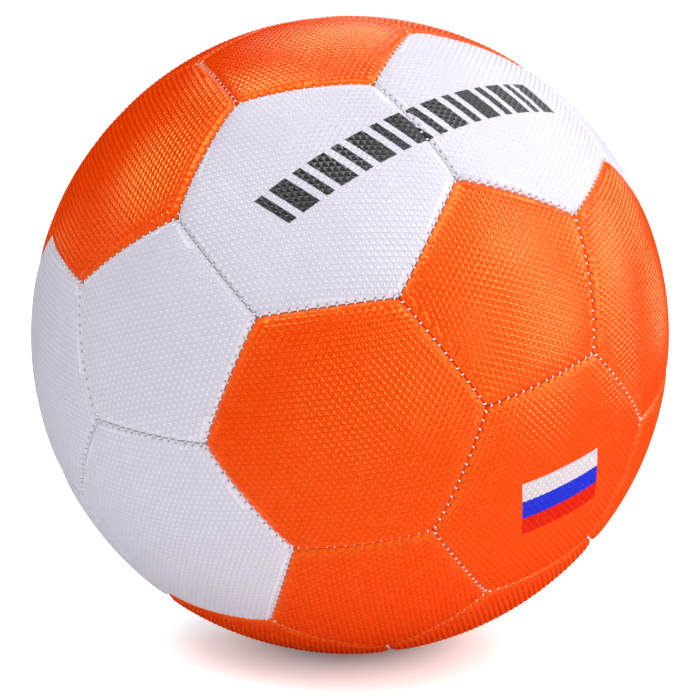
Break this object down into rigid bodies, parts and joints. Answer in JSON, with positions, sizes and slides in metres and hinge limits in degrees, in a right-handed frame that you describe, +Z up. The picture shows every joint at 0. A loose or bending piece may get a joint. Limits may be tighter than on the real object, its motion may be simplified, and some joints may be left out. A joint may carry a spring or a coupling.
{
  "type": "soccer ball",
  "caption": "Round stitched sports ball with hexagon and pentagon panels, a rubber bladder and an inflation valve.",
  "frame": {"origin": "centre of the ball", "axes": "+Z up with the ball resting on the floor; -Y is the front; +Y leaves the ball within seven degrees of the valve's axis"},
  "size_m": [0.2186, 0.2193, 0.219],
  "materials": {
    "cover_white": "textured satin",
    "cover_orange": "textured satin",
    "thread": "matte",
    "bladder_butyl": "matte",
    "valve_rubber": "satin",
    "core_rubber": "satin",
    "backing_fabric": "matte"
  },
  "bodies": {
    "root": {"bladder": "bladder_butyl", "hexagon_orange_01": "cover_orange", "hexagon_orange_02": "cover_orange", "hexagon_orange_03": "cover_orange", "hexagon_orange_04": "cover_orange", "hexagon_orange_05": "cover_orange", "hexagon_orange_06": "cover_orange", "hexagon_orange_07": "cover_orange", "hexagon_orange_08": "cover_orange", "hexagon_orange_09": "cover_orange", "hexagon_orange_10": "cover_orange", "hexagon_orange_11": "cover_orange", "hexagon_orange_12": "cover_orange", "hexagon_white_01": "cover_white", "hexagon_white_02": "cover_white", "hexagon_white_03": "cover_white", "hexagon_white_04": "cover_white", "hexagon_white_05": "cover_white", "hexagon_white_06": "cover_white", "hexagon_white_07": "cover_white", "hexagon_white_08": "cover_white", "pentagon_orange_01": "cover_orange", "pentagon_orange_02": "cover_orange", "pentagon_orange_03": "cover_orange", "pentagon_orange_04": "cover_orange", "pentagon_orange_05": "cover_orange", "pentagon_orange_06": "cover_orange", "pentagon_orange_07": "cover_orange", "pentagon_orange_08": "cover_orange", "pentagon_white_01": "cover_white", "pentagon_white_02": "cover_white", "pentagon_white_03": "cover_white", "pentagon_white_04": "cover_white", "seam_thread": "thread", "valve_boot": "valve_rubber", "valve_core": "core_rubber", "valve_patch": "backing_fabric"}
  },
  "joints": []
}
